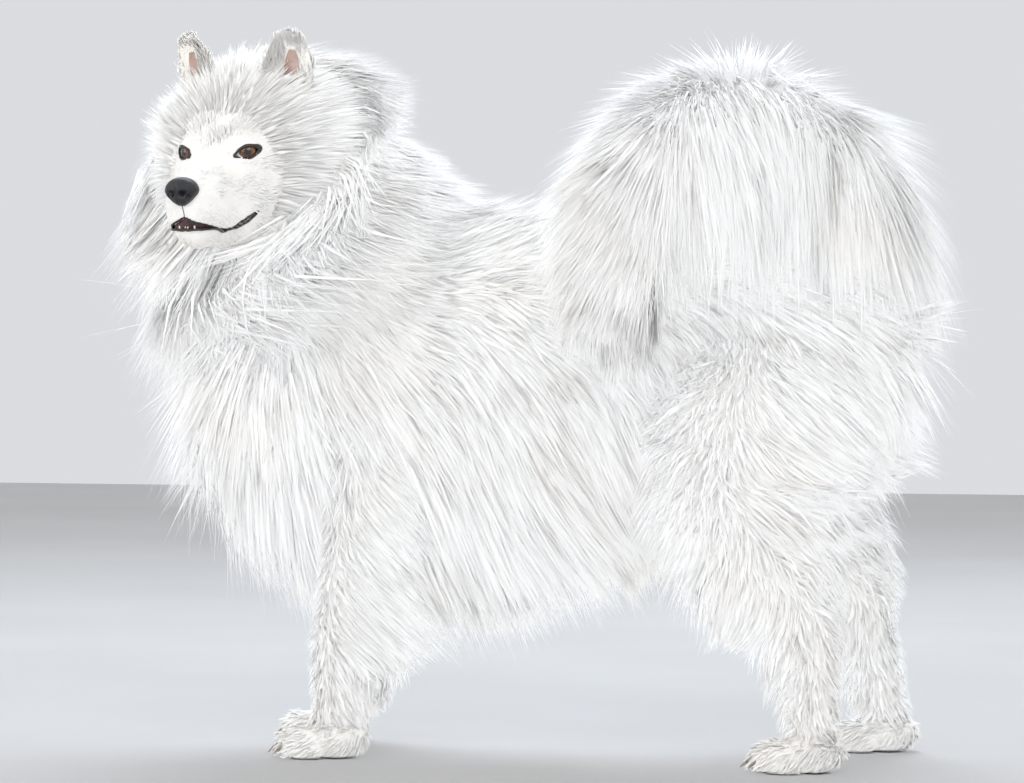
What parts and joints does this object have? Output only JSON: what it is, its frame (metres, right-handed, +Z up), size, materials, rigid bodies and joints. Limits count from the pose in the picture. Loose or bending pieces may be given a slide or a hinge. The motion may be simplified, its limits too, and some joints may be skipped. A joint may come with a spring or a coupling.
{
  "type": "samoyed dog model",
  "caption": "Life-size still model of a standing white samoyed with turned head, deep ruff and plumed tail curled over its back.",
  "frame": {"origin": "on the ground at the middle of the model's outline", "axes": "+X the way the dog stands, +Y its left side, +Z up"},
  "size_m": [0.9229, 0.4478, 0.7616],
  "materials": {
    "coat": "dense white double coat, long soft guard hair over wool",
    "skin": "thin pinkish skin under short fur",
    "nose": "black pebbled nose leather, moist sheen",
    "lips": "black lips and eyelid rims, satin",
    "eye": "dark brown iris under a clear wet surface",
    "claw": "greyish horn, slightly glossy",
    "tooth": "ivory enamel"
  },
  "bodies": {
    "root": {"head": "coat", "ear_left": "coat", "ear_right": "coat", "eye_left": "eye", "eye_right": "eye", "nose": "nose", "neck": "coat", "torso": "coat", "tail_root": "coat", "tail_arch": "coat", "tail_end": "coat", "leg_front_left": "coat", "paw_front_left": "coat", "claw_front_left_1": "claw", "claw_front_left_2": "claw", "claw_front_left_3": "claw", "claw_front_left_4": "claw", "leg_front_right": "coat", "paw_front_right": "coat", "claw_front_right_1": "claw", "claw_front_right_2": "claw", "claw_front_right_3": "claw", "claw_front_right_4": "claw", "leg_hind_left": "coat", "paw_hind_left": "coat", "claw_hind_left_1": "claw", "claw_hind_left_2": "claw", "claw_hind_left_3": "claw", "claw_hind_left_4": "claw", "leg_hind_right": "coat", "paw_hind_right": "coat", "claw_hind_right_1": "claw", "claw_hind_right_2": "claw", "claw_hind_right_3": "claw", "claw_hind_right_4": "claw"}
  },
  "joints": []
}
